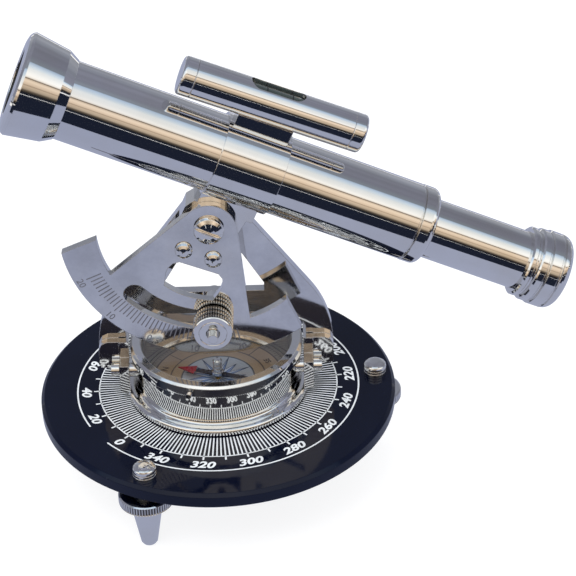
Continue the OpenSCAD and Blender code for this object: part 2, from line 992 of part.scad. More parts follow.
// Plano-convex lens, flat towards the eye
module plano_lens(r, edge, bulge) {
    sphere_r = (r * r + bulge * bulge) / (2 * bulge);
    sweep = asin(r / sphere_r);
    turned_x(concat(
        [for (i = [0 : 8]) let (a = sweep * i / 8) [sphere_r * (1 - cos(a)) - bulge, sphere_r * sin(a)]],
        [[edge, r], [edge, 0]]
    ));
}

module eye_lens() {
    color("lightblue")
        on_barrel()
            translate([eye_start + eye_length - 4.3, 0, 0])
                plano_lens(7, 1.6, 0.9);
}

module field_lens() {
    color("lightblue")
        on_barrel()
            translate([eye_start - 6, 0, 0])
                plano_lens(draw_bore - 0.05, 1.4, 1.2);
}

// Glass disc with the cross-hairs, in a ring
module reticle() {
    color("lightcyan")
        on_barrel()
            translate([eye_start - 2.4, 0, 0])
                rod_x(0, 1.2, draw_bore - 0.05);
}

base_plate();
levelling_screw_1();
levelling_screw_2();
levelling_screw_3();
levelling_foot_1();
levelling_foot_2();
levelling_foot_3();
azimuth_spindle();
spindle_washer();
spindle_nut();
turret_housing();
compass_card();
needle_pin();
compass_needle();
needle_cap();
glass_gasket();
compass_glass();
bezel_ring();
bezel_screw();
bracket_left();
bracket_right();
bracket_screws();
frame();
frame_screws();
clamp_stud();
clamp_spacer();
clamp_washer();
clamp_knob();
altitude_axle();
axle_washer();
axle_nut();
sector();
sector_screws();
telescope_bracket();
main_barrel();
objective_hood();
objective_lens();
lens_retainer();
end_collar();
level_post();
level_casing();
level_cap_front();
level_cap_rear();
level_vial();
draw_tube();
guide_ring();
eyepiece();
eye_lens();
field_lens();
reticle();
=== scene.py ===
"""Desk theodolite: looks, printed and engraved marks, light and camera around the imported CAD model."""

import json
import math

import bpy
from mathutils import Matrix, Vector


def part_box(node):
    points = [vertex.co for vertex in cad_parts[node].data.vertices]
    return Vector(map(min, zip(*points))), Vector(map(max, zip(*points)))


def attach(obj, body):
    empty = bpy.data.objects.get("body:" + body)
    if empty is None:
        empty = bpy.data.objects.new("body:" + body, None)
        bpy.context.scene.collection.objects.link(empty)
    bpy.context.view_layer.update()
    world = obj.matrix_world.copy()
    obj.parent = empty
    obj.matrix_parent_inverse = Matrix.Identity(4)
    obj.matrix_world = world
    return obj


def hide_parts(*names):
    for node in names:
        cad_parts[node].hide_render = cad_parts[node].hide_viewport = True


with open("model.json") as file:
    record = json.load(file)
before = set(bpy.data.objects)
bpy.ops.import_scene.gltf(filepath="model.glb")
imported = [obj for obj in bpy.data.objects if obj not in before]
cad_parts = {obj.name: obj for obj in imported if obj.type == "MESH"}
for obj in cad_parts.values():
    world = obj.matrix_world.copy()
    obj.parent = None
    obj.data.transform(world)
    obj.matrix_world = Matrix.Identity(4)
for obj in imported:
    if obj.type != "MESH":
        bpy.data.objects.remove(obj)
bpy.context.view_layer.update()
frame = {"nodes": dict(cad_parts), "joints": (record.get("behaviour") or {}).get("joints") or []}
nodes = frame["nodes"]
joints = {j["name"]: j for j in frame["joints"]}
scene = bpy.context.scene
MM = 0.001


def mm(*values):
    return tuple(v * MM for v in values)


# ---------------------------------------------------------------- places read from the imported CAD
base_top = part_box("base_plate")[1].z / MM
flange_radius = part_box("turret_housing")[1].x / MM
card_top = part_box("compass_card")[1].z / MM
pivot = Vector(joints["altitude"]["pos_m"]) / MM
barrel_dir = Vector(joints["focus"]["axis"]).normalized()
barrel_up = Vector((-barrel_dir.z, 0, barrel_dir.x))
barrel_y = (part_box("main_barrel")[0].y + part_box("main_barrel")[1].y) / 2 / MM
sector_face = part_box("sector")[0].y / MM
knob_low, knob_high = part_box("clamp_knob")

# ---------------------------------------------------------------- values repeated from part.scad
barrel_rise = 24.3  # barrel's axis above the altitude pivot
level_rise = barrel_rise + 23.5  # level tube's axis above the pivot
level_mid = 3.5  # middle of the level tube, along the barrel
level_turn = math.radians(-1.7)  # level tube's tilt against the barrel
north = 163  # direction of the needle's red end, in degrees


# ---------------------------------------------------------------- mesh helpers
def polar(radius, degrees):
    a = math.radians(degrees)
    return (radius * math.cos(a), radius * math.sin(a))


class Sheet:
    """Collects flat shapes, drawn as 2-D points, into one mesh through a placing function."""

    def __init__(self, place):
        self.place = place
        self.verts = []
        self.faces = []

    def polygon(self, points):
        first = len(self.verts)
        self.verts += [self.place(u, v) for u, v in points]
        self.faces.append(tuple(range(first, first + len(points))))

    def strip(self, inner, outer):
        """A band between two rows of points."""
        first = len(self.verts)
        count = len(inner)
        self.verts += [self.place(u, v) for u, v in inner]
        self.verts += [self.place(u, v) for u, v in outer]
        for i in range(count - 1):
            self.faces.append((first + i, first + i + 1, first + count + i + 1, first + count + i))

    def arc(self, r0, r1, a0, a1, steps):
        angles = [a0 + (a1 - a0) * i / steps for i in range(steps + 1)]
        self.strip([polar(r0, a) for a in angles], [polar(r1, a) for a in angles])

    def ray(self, r0, r1, angle, width):
        """A straight tick along a radius."""
        ux, uy = polar(1, angle)
        side = [(-uy * (k * width / 2), ux * (k * width / 2)) for k in (-1, 1)]
        self.polygon([
            (r0 * ux + side[0][0], r0 * uy + side[0][1]),
            (r1 * ux + side[0][0], r1 * uy + side[0][1]),
            (r1 * ux + side[1][0], r1 * uy + side[1][1]),
            (r0 * ux + side[1][0], r0 * uy + side[1][1]),
        ])

    def text(self, words, size, at, turn, shear=0.0, bold=0.0, wide=1.0):
        """Generic figures or compass letters, centred at a point and turned, in degrees."""
        curve = bpy.data.curves.new("figures", "FONT")
        curve.body = words
        curve.size = size
        curve.align_x = "CENTER"
        curve.align_y = "CENTER"
        curve.shear = shear
        curve.offset = bold
        curve.resolution_u = 3
        holder = bpy.data.objects.new("figures", curve)
        mesh = bpy.data.meshes.new_from_object(holder)
        c, s = polar(1, turn)
        first = len(self.verts)
        low = min(v.co.y for v in mesh.vertices)
        high = max(v.co.y for v in mesh.vertices)
        for v in mesh.vertices:
            x, y = v.co.x * wide, v.co.y - (low + high) / 2
            self.verts.append(self.place(at[0] + x * c - y * s, at[1] + x * s + y * c))
        for p in mesh.polygons:
            self.faces.append(tuple(first + i for i in p.vertices))
        bpy.data.objects.remove(holder)
        bpy.data.curves.remove(curve)
        bpy.data.meshes.remove(mesh)


def piece(name, verts, faces, body, material, smooth=False):
    """A new mesh, in millimetres, that rides on a CAD body."""
    mesh = bpy.data.meshes.new(name)
    mesh.from_pydata([mm(*v) for v in verts], [], faces)
    mesh.materials.append(material)
    for p in mesh.polygons:
        p.use_smooth = smooth
    mesh.update()
    ob = bpy.data.objects.new(name, mesh)
    scene.collection.objects.link(ob)
    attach(ob, body)
    return ob


def turned(profile, segments, place, notch=None):
    """A closed profile [(radius, height)] turned about an axis. notch(index, angle) is taken off a radius."""
    verts = []
    faces = []
    count = len(profile)
    for k in range(segments):
        a = 2 * math.pi * k / segments
        for i, (r, h) in enumerate(profile):
            if notch and r > 0:
                r -= notch(i, a)
            verts.append(place(r * math.cos(a), r * math.sin(a), h))
    for k in range(segments):
        n = (k + 1) % segments
        for i in range(count):
            j = (i + 1) % count
            faces.append((k * count + i, n * count + i, n * count + j, k * count + j))
    return verts, faces


def knurl(teeth, depth):
    """How deep a straight knurl cuts at an angle."""
    def cut(angle):
        t = angle * teeth / (2 * math.pi) % 1.0
        return depth * (1 - abs(2 * t - 1)) ** 0.8
    return cut


# ---------------------------------------------------------------- material helpers
class Shader:
    """A material's node tree, with a Principled shader and object coordinates ready."""

    def __init__(self, name):
        self.material = bpy.data.materials.new(name)
        self.material.use_nodes = True
        self.tree = self.material.node_tree
        self.nodes = self.tree.nodes
        self.bsdf = self.nodes["Principled BSDF"]
        self.coords = self.nodes.new("ShaderNodeTexCoord").outputs["Object"]

    def link(self, a, b):
        self.tree.links.new(a, b)

    def set(self, name, value):
        self.bsdf.inputs[name].default_value = value

    def feed(self, name, value):
        self.link(value, self.bsdf.inputs[name])

    def math(self, operation, a, b=None, clamp=False):
        n = self.nodes.new("ShaderNodeMath")
        n.operation = operation
        n.use_clamp = clamp
        for i, v in enumerate((a, b)):
            if v is None:
                continue
            if isinstance(v, (int, float)):
                n.inputs[i].default_value = v
            else:
                self.link(v, n.inputs[i])
        return n.outputs[0]

    def vector(self, operation, a, b=None):
        n = self.nodes.new("ShaderNodeVectorMath")
        n.operation = operation
        for i, v in enumerate((a, b)):
            if v is None:
                continue
            if isinstance(v, (tuple, list, Vector)):
                n.inputs[i].default_value = v
            else:
                self.link(v, n.inputs[i])
        return n.outputs["Value"] if operation in ("LENGTH", "DOT_PRODUCT") else n.outputs["Vector"]

    def noise(self, scale, detail=2.0, rough=0.5, coords=None):
        n = self.nodes.new("ShaderNodeTexNoise")
        n.inputs["Scale"].default_value = scale
        n.inputs["Detail"].default_value = detail
        n.inputs["Roughness"].default_value = rough
        self.link(coords or self.coords, n.inputs["Vector"])
        return n.outputs["Fac"]

    def stretched(self, scales):
        n = self.nodes.new("ShaderNodeMapping")
        n.inputs["Scale"].default_value = scales
        self.link(self.coords, n.inputs["Vector"])
        return n.outputs["Vector"]

    def remap(self, value, low, high, to_low, to_high):
        n = self.nodes.new("ShaderNodeMapRange")
        for i, v in enumerate((low, high, to_low, to_high)):
            n.inputs[i + 1].default_value = v
        self.link(value, n.inputs[0])
        return n.outputs[0]

    def mix(self, factor, a, b):
        n = self.nodes.new("ShaderNodeMix")
        n.data_type = "RGBA"
        if isinstance(factor, (int, float)):
            n.inputs["Factor"].default_value = factor
        else:
            self.link(factor, n.inputs["Factor"])
        for i, v in ((6, a), (7, b)):
            if isinstance(v, (tuple, list)):
                n.inputs[i].default_value = (*v[:3], 1)
            else:
                self.link(v, n.inputs[i])
        return n.outputs[2]

    def two_tone(self, value, low, high, a, b):
        return self.mix(self.remap(value, low, high, 0, 1), a, b)

    def ramp(self, value, stops):
        n = self.nodes.new("ShaderNodeValToRGB")
        r = n.color_ramp
        while len(r.elements) < len(stops):
            r.elements.new(0.5)
        for e, (at, colour) in zip(r.elements, stops):
            e.position = at
            e.color = (*colour, 1)
        self.link(value, n.inputs[0])
        return n.outputs[0]

    def bump(self, height, distance, strength=1.0, normal=None):
        n = self.nodes.new("ShaderNodeBump")
        n.inputs["Distance"].default_value = distance
        n.inputs["Strength"].default_value = strength
        self.link(height, n.inputs["Height"])
        if normal is not None:
            self.link(normal, n.inputs["Normal"])
        return n.outputs[0]

    def between(self, value, low, high):
        return self.math("MULTIPLY", self.math("GREATER_THAN", value, low), self.math("LESS_THAN", value, high))

    def from_line(self, away, axis):
        """Distance from a line, where away is measured from a point on it."""
        return self.vector("LENGTH", self.vector("CROSS_PRODUCT", away, axis))

    def rounded_edge(self, radius):
        n = self.nodes.new("ShaderNodeBevel")
        n.samples = 4
        n.inputs["Radius"].default_value = radius
        return n.outputs[0]


NICKEL = (0.86, 0.85, 0.83)
SMUDGED = tuple(c * k for c, k in zip(NICKEL, (0.9, 0.87, 0.8)))
CLOUDED = (0.72, 0.74, 0.8)
STAINED = (0.5, 0.5, 0.5)
WORN = (0.4, 0.34, 0.27)
OXIDE = (0.035, 0.032, 0.034)
BLACKENED = (0.012, 0.012, 0.013)


def plated(name, rough=0.05, brush=None, brush_depth=0.0, edge=0.0003, inside=None, thread=None, groove=None,
           stain=0.0):
    """Polished nickel plate: faint waves, smudges and warm worn edges, edge metres in radius.

    brush stretches fine lines along the axes. stain is how strong grey blotches are.
    inside = (point, axis, radius) blackens what is closer to that line than radius.
    thread = (point, axis, pitch, low, high) bumps a thread between two heights on the axis.
    groove = (point, axis, deep, proud, low, high) darkens a knurl's valleys, from radius proud down to deep.
    """
    s = Shader(name)
    s.set("Metallic", 1.0)
    smudge = s.noise(55, 4, 0.6)
    cloud = s.noise(14, 2, 0.5)
    tint = s.mix(s.remap(smudge, 0.4, 0.72, 0, 0.55), NICKEL, SMUDGED)
    tint = s.mix(s.remap(cloud, 0.45, 0.75, 0, 0.4), tint, CLOUDED)
    if stain:
        tint = s.mix(s.remap(s.noise(34, 5, 0.7), 0.42, 0.68, 0, stain), tint, STAINED)
    normal = s.rounded_edge(edge)
    plain = s.nodes.new("ShaderNodeNewGeometry").outputs["Normal"]
    worn = s.math("SUBTRACT", 1.0, s.vector("DOT_PRODUCT", normal, plain), clamp=True)
    worn = s.math("MULTIPLY", s.remap(worn, 0.0, 0.25, 0, 0.6), s.remap(s.noise(420, 3), 0.35, 0.65, 0.2, 1))
    tint = s.mix(worn, tint, WORN)
    marks = s.noise(700, 3, 0.7)
    shine = s.math("ADD", smudge, s.math("MULTIPLY", marks, 0.5))
    roughness = s.remap(shine, 0.5, 1.1, rough * 0.55, rough * 1.9)
    wave = s.noise(70, 2, 0.4)
    normal = s.bump(wave, 0.00006, 0.35, normal)
    if brush:
        lines = s.noise(1.0, 3, 0.7, s.stretched(brush))
        normal = s.bump(lines, 0.00002, brush_depth, normal)
    if thread:
        origin, axis, pitch, low, high = thread
        along = s.vector("DOT_PRODUCT", s.vector("SUBTRACT", s.coords, origin), axis)
        turn = s.math("PINGPONG", s.math("DIVIDE", along, pitch), 0.5)
        gate = s.between(along, low, high)
        normal = s.bump(s.math("MULTIPLY", turn, gate), pitch, 0.9, normal)
    if groove:
        origin, axis, deep, proud, low, high = groove
        away = s.vector("SUBTRACT", s.coords, origin)
        gate = s.between(s.vector("DOT_PRODUCT", away, axis), low, high)
        oxide = s.math("MULTIPLY", gate, s.remap(s.from_line(away, axis), deep, proud, 1, 0))
        tint = s.mix(oxide, tint, OXIDE)
        roughness = s.math("ADD", roughness, s.math("MULTIPLY", oxide, 0.25))
    if inside:
        origin, axis, radius = inside
        off = s.from_line(s.vector("SUBTRACT", s.coords, origin), axis)
        dark = s.math("LESS_THAN", off, radius)
        tint = s.mix(dark, tint, BLACKENED)
        roughness = s.math("ADD", roughness, s.math("MULTIPLY", dark, 0.5))
        s.feed("Metallic", s.math("SUBTRACT", 1.0, dark))
    s.feed("Base Color", tint)
    s.feed("Roughness", roughness)
    s.feed("Normal", normal)
    return s.material


def enamel():
    """Gloss blue-black enamel with faint orange peel and dust."""
    s = Shader("enamel_blue_black")
    peel = s.noise(320, 2, 0.5)
    dust = s.noise(900, 2, 0.8)
    haze = s.noise(25, 3, 0.6)
    colour = s.two_tone(haze, 0.35, 0.7, (0.0012, 0.0026, 0.011), (0.0022, 0.0042, 0.016))
    colour = s.mix(s.remap(dust, 0.72, 0.8, 0, 0.35), colour, (0.12, 0.13, 0.15))
    s.feed("Base Color", colour)
    s.feed("Roughness", s.remap(haze, 0.3, 0.7, 0.035, 0.1))
    s.feed("Normal", s.bump(peel, 0.00004, 0.25, s.rounded_edge(0.0004)))
    s.set("IOR", 1.33)
    return s.material


def ink(name, colour, rough=0.4, patchy=0.25):
    """Screen-printed ink: slightly uneven in colour and shine."""
    s = Shader(name)
    grain = s.noise(1500, 3, 0.7)
    patch = s.noise(160, 2, 0.6)
    pale = tuple(min(1, c * 1.05) for c in colour)
    deep = tuple(c * (1 - patchy) for c in colour)
    s.feed("Base Color", s.two_tone(patch, 0.35, 0.7, pale, deep))
    s.feed("Roughness", s.remap(grain, 0.3, 0.7, rough * 0.8, rough * 1.2))
    s.feed("Normal", s.bump(grain, 0.00001, 0.4))
    return s.material


def dial_card():
    """Paper card: pale rose field, ruled rings and a tan border, slightly aged."""
    s = Shader("dial_card")
    radius = s.vector("LENGTH", s.vector("MULTIPLY", s.coords, (1, 1, 0)))
    rings = s.ramp(s.math("DIVIDE", radius, 0.028), [
        (0.0, (0.36, 0.4, 0.5)), (0.455, (0.42, 0.46, 0.56)),
        (0.46, (0.05, 0.07, 0.12)), (0.475, (0.05, 0.07, 0.12)),
        (0.48, (0.42, 0.29, 0.19)), (0.6, (0.38, 0.26, 0.17)),
        (0.605, (0.08, 0.06, 0.06)), (0.618, (0.08, 0.06, 0.06)),
        (0.623, (0.38, 0.25, 0.16)), (0.82, (0.42, 0.29, 0.19)),
        (0.825, (0.1, 0.07, 0.06)), (0.84, (0.1, 0.07, 0.06)),
        (0.845, (0.26, 0.21, 0.17)), (1.0, (0.2, 0.17, 0.14)),
    ])
    fibre = s.noise(1200, 4, 0.75)
    age = s.noise(70, 4, 0.65)
    colour = s.mix(s.remap(age, 0.4, 0.7, 0, 0.5), rings, s.mix(0.75, rings, (0.3, 0.2, 0.1)))
    s.feed("Base Color", colour)
    s.feed("Roughness", s.remap(fibre, 0.3, 0.7, 0.45, 0.7))
    s.feed("Normal", s.bump(fibre, 0.00003, 0.5))
    return s.material


RED_FROM = 0.0082  # metres from the pin


def needle_paint():
    """Blued steel needle whose north end is red lacquer."""
    s = Shader("needle_paint")
    along = s.vector("DOT_PRODUCT", s.coords, (*polar(1, north), 0))
    red = s.math("GREATER_THAN", along, RED_FROM)
    grain = s.noise(900, 3, 0.6)
    steel = s.two_tone(grain, 0.3, 0.7, (0.01, 0.014, 0.03), (0.03, 0.04, 0.08))
    lacquer = s.two_tone(grain, 0.3, 0.7, (0.42, 0.012, 0.03), (0.3, 0.01, 0.025))
    s.feed("Base Color", s.mix(red, steel, lacquer))
    s.feed("Roughness", s.remap(grain, 0.3, 0.7, 0.22, 0.38))
    s.feed("Metallic", s.math("MULTIPLY", s.math("SUBTRACT", 1.0, red), 0.7))
    return s.material


def clear_glass(name, tint=(0.97, 0.985, 0.98), coated=False):
    """Clear glass that lets lamps light what is under it, with faint smears."""
    s = Shader(name)
    s.set("Base Color", (*tint, 1))
    s.set("Transmission Weight", 1.0)
    s.set("IOR", 1.5)
    s.feed("Roughness", s.remap(s.noise(90, 4, 0.7), 0.5, 0.8, 0.0, 0.03))
    if coated:
        s.set("Coat Weight", 0.5)
        s.set("Coat Tint", (0.62, 0.5, 0.95, 1))
    path = s.nodes.new("ShaderNodeLightPath")
    clear = s.nodes.new("ShaderNodeBsdfTransparent")
    clear.inputs["Color"].default_value = (*tint, 1)
    mixed = s.nodes.new("ShaderNodeMixShader")
    s.link(s.math("MAXIMUM", path.outputs["Is Shadow Ray"], path.outputs["Is Diffuse Ray"]), mixed.inputs[0])
    s.link(s.bsdf.outputs[0], mixed.inputs[1])
    s.link(clear.outputs[0], mixed.inputs[2])
    s.link(mixed.outputs[0], s.nodes["Material Output"].inputs["Surface"])
    return s.material


def spirit():
    """Spirit in a glass vial, coloured near-black slate-green as painted shade for the shade inside the level
    tube.
    """
    s = Shader("vial_spirit_painted_shade")
    streak = s.noise(260, 2, 0.5)
    # Painted shade: the near-black spirit colour stands in for the shade inside the level tube
    s.feed("Base Color", s.two_tone(streak, 0.3, 0.7, (0.055, 0.075, 0.06), (0.035, 0.05, 0.045)))
    s.feed("Roughness", s.remap(streak, 0.3, 0.7, 0.01, 0.03))
    s.set("Transmission Weight", 0.3)
    s.set("IOR", 1.36)
    s.set("Coat Weight", 1.0)
    s.set("Coat Roughness", 0.01)
    return s.material


def plain_stuff(name, light, dark, scale, rough, depth=0.00003, metallic=0.0):
    """Two-tone grain for rubber, leather, brass and blackened parts."""
    s = Shader(name)
    grain = s.noise(scale, 5, 0.65)
    s.feed("Base Color", s.two_tone(grain, 0.3, 0.7, light, dark))
    s.feed("Roughness", s.remap(grain, 0.3, 0.7, rough * 0.75, rough * 1.25))
    s.feed("Normal", s.bump(grain, depth, 0.5, s.rounded_edge(0.0002)))
    s.set("Metallic", metallic)
    return s.material


# ---------------------------------------------------------------- finishes of the CAD nodes
def along_barrel(station, rise=barrel_rise):
    return Vector((pivot.x, barrel_y, pivot.z)) + barrel_dir * station + barrel_up * rise


barrel_line = (tuple(along_barrel(0) * MM), tuple(barrel_dir))
polished = plated("nickel_polished", 0.045)
turned_metal = plated("nickel_turned", 0.05, brush=(60, 60, 2600), brush_depth=0.03)
lapped = plated("nickel_lapped", 0.05, brush=(90, 90, 1500), brush_depth=0.04, edge=0.00035, stain=0.5)
fine_edge = plated("nickel_small", 0.06, edge=0.00015)
tube_metal = plated("nickel_tube", 0.035, inside=(*barrel_line, 12.5 * MM))
draw_metal = plated("nickel_draw", 0.035, inside=(*barrel_line, 9.6 * MM))
brass = plain_stuff("turned_brass", (0.8, 0.6, 0.28), (0.66, 0.46, 0.2), 500, 0.22, metallic=1.0)
rubber = plain_stuff("gasket_rubber", (0.03, 0.03, 0.032), (0.016, 0.016, 0.018), 1500, 0.7)
leather = plain_stuff("guide_leather", (0.12, 0.065, 0.035), (0.06, 0.03, 0.018), 900, 0.55, 0.00008)
blackened = plain_stuff("blackened_brass", (0.02, 0.02, 0.02), (0.01, 0.01, 0.011), 800, 0.5)
glass = clear_glass("window_glass")
lens = clear_glass("lens_glass", (0.96, 0.97, 1.0), coated=True)

finishes = {
    "base_plate": enamel(),
    "compass_card": dial_card(),
    "compass_needle": needle_paint(),
    "needle_pin": brass,
    "spindle_washer": brass,
    "clamp_washer": brass,
    "axle_washer": brass,
    "glass_gasket": rubber,
    "compass_glass": glass,
    "guide_ring": leather,
    "lens_retainer": blackened,
    "objective_hood": plated("nickel_hood", 0.04, inside=(*barrel_line, 11.2 * MM)),
    "objective_lens": lens,
    "eye_lens": lens,
    "field_lens": lens,
    "reticle": glass,
    "sector": lapped,
    "frame": lapped,
    "bracket_left": lapped,
    "bracket_right": lapped,
    "turret_housing": turned_metal,
    "bezel_ring": turned_metal,
    "main_barrel": tube_metal,
    "draw_tube": draw_metal,
    "needle_cap": fine_edge,
    "bezel_screw": fine_edge,
    "bracket_screws": fine_edge,
    "sector_screws": fine_edge,
    "clamp_stud": plated("nickel_stud", 0.08, edge=0.00015, thread=(
        (0, knob_low.y - 0.003, (knob_low.z + knob_high.z) / 2), (0, 1, 0), 0.0007, -0.001, 0.014)),
    "azimuth_spindle": plated("nickel_spindle", 0.08, edge=0.0002, thread=(
        (0, 0, 0), (0, 0, 1), 0.001, 0.018, 0.0236)),
}
for name, ob in nodes.items():
    ob.data.materials.clear()
    ob.data.materials.append(finishes.get(name, polished))


# ---------------------------------------------------------------- printed circle on the base
white_ink = ink("printed_white", (0.86, 0.9, 0.94), 0.35, 0.12)
ZERO_MARK = 224.3  # direction of the zero, in degrees; the figures run clockwise
TICK_END = 42.5
TEN_TICK_END = 44.6
FIGURE_RADIUS = 47.1
RING_GAP = (208.5, 221.5)  # the outer ring is open between these directions

print_sheet = Sheet(lambda u, v: (u, v, base_top + 0.03))
for label in range(0, 360, 2):
    print_sheet.ray(flange_radius - 0.4, TICK_END, ZERO_MARK - label, 0.5)
for label in range(0, 360, 10):
    print_sheet.ray(TICK_END, TEN_TICK_END, ZERO_MARK - label, 0.62)
print_sheet.arc(42.4, 42.85, 0, 360, 240)
print_sheet.arc(50.1, 50.65, RING_GAP[1] - 360, RING_GAP[0], 240)
for label in range(0, 360, 20):
    bearing = ZERO_MARK - label
    place = polar(FIGURE_RADIUS, bearing)
    print_sheet.text(str(label), 4.7, place, bearing + 90, shear=0.18, bold=0.15, wide=1.2)
piece("base_circle_print", print_sheet.verts, print_sheet.faces, "base", white_ink)


# ---------------------------------------------------------------- engraved scale on the sector
SCALE_MIDDLE = 27.6  # degrees from straight down to the middle tick
SCALE_STEP = 1.94  # degrees from tick to tick
SCALE_FIGURES = ((20, 65.6), (10, 46.6), (0, 27.6), (10, 8.4), (20, -11.2))

engraved = ink("engraved_shadow", (0.13, 0.13, 0.16), 0.5, 0.3)
scale_dark = Sheet(lambda u, v: (pivot.x + u, sector_face - 0.02, pivot.z + v))
for step in range(-20, 21):
    if step % 10 == 0:
        reach = 46.2
    elif step % 5 == 0:
        reach = 45.9
    else:
        reach = 45.2
    scale_dark.ray(40.6, reach, 270 - SCALE_MIDDLE - step * SCALE_STEP, 0.42)
for value, bearing in SCALE_FIGURES:
    scale_dark.text(str(value), 3.5, polar(48.4, 270 - bearing), -bearing, bold=0.02, wide=0.95)
piece("sector_scale_cut", scale_dark.verts, scale_dark.faces, "telescope", engraved)


# ---------------------------------------------------------------- compass card
def on_card(depth):
    return lambda u, v: (u, v, card_top + depth)


rose_pale = Sheet(on_card(0.02))
rose_dark = Sheet(on_card(0.03))
rose_white = Sheet(on_card(0.02))
HALF_POINT = 11.25  # half the angle of one of the rose's 16 points
for k in range(16):
    a = 22.5 * k + north % 45
    tip = 12.8 if k % 2 == 0 else 10.2
    waist = 4.4 if k % 2 == 0 else 5.6
    rose_pale.polygon([polar(1.5, a), polar(waist, a - HALF_POINT), polar(tip, a)])
    rose_white.polygon([polar(1.5, a), polar(tip, a), polar(waist, a + HALF_POINT)])
    rose_dark.ray(1.6, tip, a, 0.22)
    for hand in (-1, 1):
        p, q = polar(waist, a + hand * HALF_POINT), polar(tip, a)
        d = Vector((q[0] - p[0], q[1] - p[1])).normalized() * 0.12
        rose_dark.polygon([
            (p[0] - d.y, p[1] + d.x), (p[0] + d.y, p[1] - d.x),
            (q[0] + d.y, q[1] - d.x), (q[0] - d.y, q[1] + d.x),
        ])
piece("rose_blue", rose_pale.verts, rose_pale.faces, "head", ink("rose_blue_ink", (0.2, 0.32, 0.66), 0.45))
piece("rose_white", rose_white.verts, rose_white.faces, "head", ink("rose_white_ink", (0.62, 0.7, 0.9), 0.45))
piece("rose_lines", rose_dark.verts, rose_dark.faces, "head", ink("rose_line_ink", (0.02, 0.04, 0.12), 0.5))

ring_marks = Sheet(on_card(0.03))
POINTS = ("N", "NE", "E", "SE", "S", "SW", "W", "NW")
for k, letters in enumerate(POINTS):
    a = north - 45 * k
    size = 3.6 if len(letters) == 1 else 3.0
    ring_marks.text(letters, size, polar(20.1, a), a + 90, bold=0.06, wide=0.95)
    ring_marks.ray(17.2, 23.0, a + 22.5, 0.3)
for k in range(120):
    ring_marks.ray(24.4 if k % 5 else 23.6, 25.6, 3 * k + 1, 0.18)
ring_marks.arc(25.5, 25.7, 0, 360, 120)
brown_ink = ink("card_brown_ink", (0.06, 0.03, 0.02), 0.5)
piece("card_marks", ring_marks.verts, ring_marks.faces, "head", brown_ink)


# ---------------------------------------------------------------- knurled thumb nut
def knob_place(x, y, h):
    centre = (knob_low.x + knob_high.x) / 2 / MM, (knob_low.z + knob_high.z) / 2 / MM
    return (centre[0] + x, knob_high.y / MM - h, centre[1] + y)


rim = (knob_high.x - knob_low.x) / 2 / MM
face = (knob_high.y - knob_low.y) / MM
bore = 1.68
knob_profile = [
    (bore, 0), (rim - 0.6, 0), (rim - 0.15, 0.35), (rim, 0.8), (rim, 1.6), (rim - 0.2, 2.0),
    (rim - 0.8, 2.15), (rim - 0.8, 2.6), (rim - 0.2, 2.75), (rim, 3.1), (rim, 4.0), (rim - 0.2, 4.35),
    (rim - 0.8, 4.5), (rim - 0.8, 4.95), (rim - 0.2, 5.1), (rim, 5.45), (rim, 6.3), (rim - 0.2, 6.7),
    (rim - 0.7, 6.9), (rim - 0.7, 7.1), (rim - 0.3, 7.3), (rim - 0.2, face - 0.35), (rim - 0.5, face), (4.9, face),
    (4.75, face - 0.12), (4.6, face), (bore + 0.75, face), (bore, face - 0.75),
]
toothed = {2, 3, 4, 5, 8, 9, 10, 11, 14, 15, 16, 17}  # the profile's points on the three knurled bands
knob_cut = knurl(46, 0.65)
verts, faces = turned(knob_profile, 276, knob_place, lambda i, a: knob_cut(a) if i in toothed else 0)
knob_axis = ((0, knob_high.y, (knob_low.z + knob_high.z) / 2), (0, -1, 0))
knob = piece("clamp_knob_knurled", verts, faces, "clamp_knob", plated(
    "nickel_knob", 0.06, edge=0.0001, groove=(*knob_axis, (rim - 0.7) * MM, (rim - 0.2) * MM, -0.001, 0.0069)))
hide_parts("clamp_knob")

# ---------------------------------------------------------------- knurled levelling feet
foot_cut = knurl(60, 0.5)
for i in (1, 2, 3):
    low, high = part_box("levelling_foot_%d" % i)
    cx, cy = (low.x + high.x) / 2 / MM, (low.y + high.y) / 2 / MM
    top = high.z / MM
    radius = (high.x - low.x) / 2 / MM
    shoulder = top - 3.8
    profile = [
        (0.001, 0), (1.6, 0), (2.4, 0.4), (2.9, 1.2), (5.6, shoulder - 0.6), (6.2, shoulder - 0.1),
        (radius - 0.6, shoulder), (radius - 0.1, shoulder + 0.35), (radius, shoulder + 0.7),
        (radius, top - 0.7), (radius - 0.1, top - 0.35), (radius - 0.6, top),
        (3.03, top), (3.03, top - 10.2), (0.001, top - 10.2),
    ]
    verts, faces = turned(
        profile, 240, lambda x, y, h: (cx + x, cy + y, h), lambda k, a: foot_cut(a) if k in (8, 9) else 0)
    foot_metal = plated("nickel_foot_%d" % i, 0.06, edge=0.0001, groove=(
        (cx * MM, cy * MM, 0), (0, 0, 1),
        (radius - 0.5) * MM, (radius - 0.12) * MM, (shoulder + 0.4) * MM, (top - 0.4) * MM))
    foot = piece("foot_knurled_%d" % i, verts, faces, "levelling_foot_%d" % i, foot_metal)
    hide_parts("levelling_foot_%d" % i)


# ---------------------------------------------------------------- level vial
level_dir = barrel_dir * math.cos(level_turn) - barrel_up * math.sin(level_turn)
level_up = barrel_dir * math.sin(level_turn) + barrel_up * math.cos(level_turn)


def on_level(x, y, h):
    p = along_barrel(level_mid, level_rise) + level_dir * h + level_up * y
    return (p.x, p.y + x, p.z)


